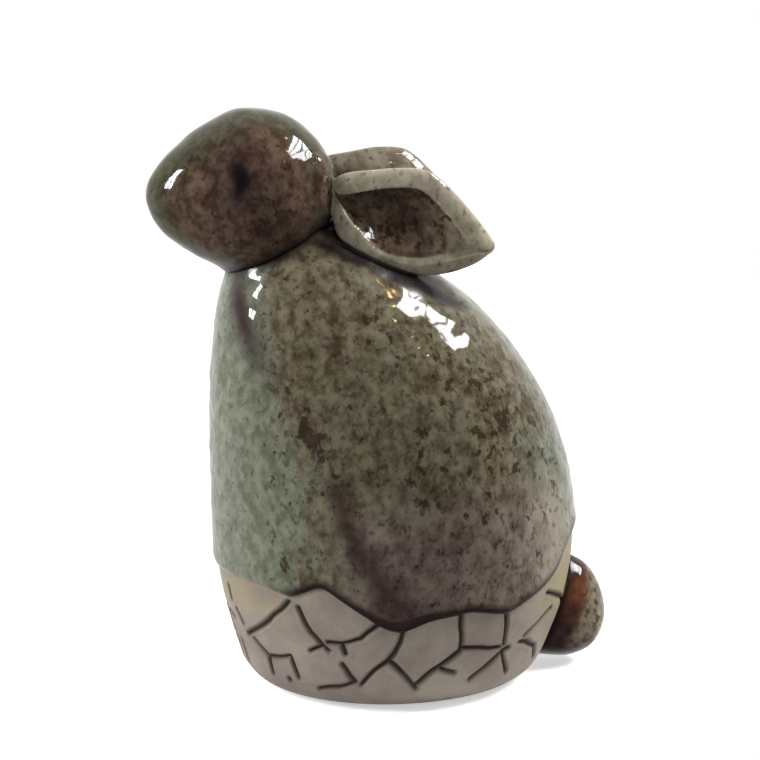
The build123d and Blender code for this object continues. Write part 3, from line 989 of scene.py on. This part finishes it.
# Floor: white to the camera, with the object's shadow on it.
FLOOR_RADIUS = 0.26
FLOOR_SETBACK = 0.2
FLOOR_CORNERS = 96
FLOOR_LIFT = 0.5


def floor():
    """A pale floor under the figure."""
    mesh = bpy.data.meshes.new("floor")
    turns = np.linspace(0, 2 * math.pi, FLOOR_CORNERS, endpoint=False)
    across = FLOOR_RADIUS * np.cos(turns)
    along = FLOOR_SETBACK + FLOOR_RADIUS * np.sin(turns)
    corners = np.stack([across, along, np.zeros(FLOOR_CORNERS)], axis=1)
    mesh.from_pydata(corners.tolist(), [], [range(FLOOR_CORNERS)])
    obj = bpy.data.objects.new("floor", mesh)
    bpy.context.collection.objects.link(obj)
    material, tree, surface = shader("floor")
    surface.inputs["Base Color"].default_value = rgb(0.82, 0.82, 0.81)
    surface.inputs["Roughness"].default_value = 0.9
    surface.inputs["Emission Color"].default_value = rgb(1, 1, 1)
    path = add(tree, "ShaderNodeLightPath").outputs
    seen = maths(tree, "MAXIMUM", path["Is Camera Ray"], path["Is Transmission Ray"])
    tree.links.new(maths(tree, "MULTIPLY", seen, FLOOR_LIFT), surface.inputs["Emission Strength"])
    mesh.materials.append(material)
    # Its edge would show as a hard line in the glaze, so reflections see the world's white instead.
    obj.visible_glossy = False


floor()

# World: white behind the figure, dimmer on the side that the camera stands on.
WORLD_FRONT = 0.32
WORLD_BACK = 0.65
WORLD_DIM = 0.6
WORLD_TURN = (-0.7, 0.6)
WHITE_BEHIND = (-0.35, 0.6)


def world():
    """Soft light from all round, white to the camera and, from behind the figure, to reflections."""
    made = bpy.data.worlds.new("studio")
    bpy.context.scene.world = made
    made.use_nodes = True
    tree = made.node_tree
    back = tree.nodes["Background"]
    way = add(tree, "ShaderNodeTexCoord").outputs["Generated"]
    depth = add(tree, "ShaderNodeSeparateXYZ", {"Vector": way}).outputs["Y"]
    inputs = {"Value": depth, "From Min": WORLD_TURN[0], "From Max": WORLD_TURN[1]}
    inputs.update({"To Min": WORLD_FRONT, "To Max": WORLD_BACK})
    strength = add(tree, "ShaderNodeMapRange", inputs, interpolation_type="SMOOTHSTEP").outputs["Result"]
    path = add(tree, "ShaderNodeLightPath").outputs
    dim = maths(tree, "SUBTRACT", 1.0, maths(tree, "MULTIPLY", path["Is Glossy Ray"], WORLD_DIM))
    strength = maths(tree, "MULTIPLY", strength, dim)
    either = maths(tree, "MAXIMUM", path["Is Glossy Ray"], path["Is Transmission Ray"])
    behind = maths(tree, "MULTIPLY", either, ramp(tree, depth, *WHITE_BEHIND))
    seen = maths(tree, "MAXIMUM", path["Is Camera Ray"], behind)
    tree.links.new(maths(tree, "MAXIMUM", strength, seen), back.inputs["Strength"])
    back.inputs["Color"].default_value = rgb(1, 1, 1)


world()


# Lamps: two windows of panes, two soft panels behind, and small warm bulbs.
def panel(name, azimuth, elevation, width, height, power, colour):
    """A rectangular lamp, seen from the figure at that azimuth (0 is -Y) and elevation."""
    lamp = bpy.data.lights.new(name, "AREA")
    lamp.shape = "RECTANGLE"
    lamp.size = width
    lamp.size_y = height
    lamp.energy = power
    lamp.color = colour
    obj = bpy.data.objects.new(name, lamp)
    bpy.context.collection.objects.link(obj)
    turn = math.radians(azimuth)
    lift = math.radians(elevation)
    way = Vector((math.sin(turn) * math.cos(lift), -math.cos(turn) * math.cos(lift), math.sin(lift)))
    obj.location = LAMP_AIM + way * LAMP_DISTANCE
    obj.rotation_euler = way.to_track_quat("Z", "Y").to_euler()
    obj.visible_camera = False
    return obj


LAMP_AIM = Vector((0, 0, 0.06))
LAMP_DISTANCE = 0.7
DAYLIGHT = (0.96, 0.98, 1.0)
WARM = (1.0, 0.62, 0.22)
# Each window: columns of panes, azimuth and its step, elevation and its step, then each pane's width, height
# and power.
WINDOW_ROWS = 3
WINDOWS = {
    "right": (4, 74, 8, 35, 6.5, 0.078, 0.062, 0.55),
    "left": (2, -88, 5, 19, 7, 0.04, 0.078, 0.8),
}
for row in range(WINDOW_ROWS):
    for side, (columns, turn, turn_step, lift, lift_step, width, height, power) in WINDOWS.items():
        for column in range(columns):
            place = (turn + turn_step * column, lift + lift_step * row)
            panel(f"window_{side}_{row}{column}", *place, width, height, power, DAYLIGHT)
BACKDROP_LIFT = 14
BACKDROP_SIZE = 0.4
BACKDROP_POWER = 1.0
for side, azimuth in (("left", -140), ("right", 155)):
    size = (BACKDROP_SIZE, BACKDROP_SIZE)
    backdrop = panel("backdrop_" + side, azimuth, BACKDROP_LIFT, *size, BACKDROP_POWER, DAYLIGHT)
    backdrop.visible_glossy = False
# Each bulb: azimuth, elevation, size and power.
BULBS = {"near": (68, 52, 0.016, 0.1), "far": (80, 56, 0.016, 0.1), "low": (47, 37, 0.014, 0.08)}
for name, (azimuth, elevation, size, power) in BULBS.items():
    panel("bulb_" + name, azimuth, elevation, size, size, power, WARM)

# Camera: at the photograph's angle, framing the figure as it does.
CAMERA_AZIMUTH = -12.0
CAMERA_ELEVATION = 14.0
CAMERA_DISTANCE = 0.6
CAMERA_AIM = Vector((0, 0, 0.055))
PIXELS_PER_MM = 5.0
AIM_PIXEL = (392.5, 409.9)


def camera():
    """The camera, with the lens and shift that put the aim point on its pixel."""
    made = bpy.data.cameras.new("camera")
    view_width = PICTURE_SIZE / PIXELS_PER_MM * MM
    made.sensor_width = 36.0
    made.lens = made.sensor_width * CAMERA_DISTANCE / view_width
    made.shift_x = (PICTURE_SIZE / 2 - AIM_PIXEL[0]) / PICTURE_SIZE
    made.shift_y = (AIM_PIXEL[1] - PICTURE_SIZE / 2) / PICTURE_SIZE
    made.clip_start = 0.01
    obj = bpy.data.objects.new("camera", made)
    bpy.context.collection.objects.link(obj)
    turn = math.radians(CAMERA_AZIMUTH)
    lift = math.radians(CAMERA_ELEVATION)
    back = Vector((math.sin(turn) * math.cos(lift), -math.cos(turn) * math.cos(lift), math.sin(lift)))
    obj.location = CAMERA_AIM + back * CAMERA_DISTANCE
    obj.rotation_euler = back.to_track_quat("Z", "Y").to_euler()
    bpy.context.scene.camera = obj


camera()
bpy.context.scene.view_settings.view_transform = "Standard"
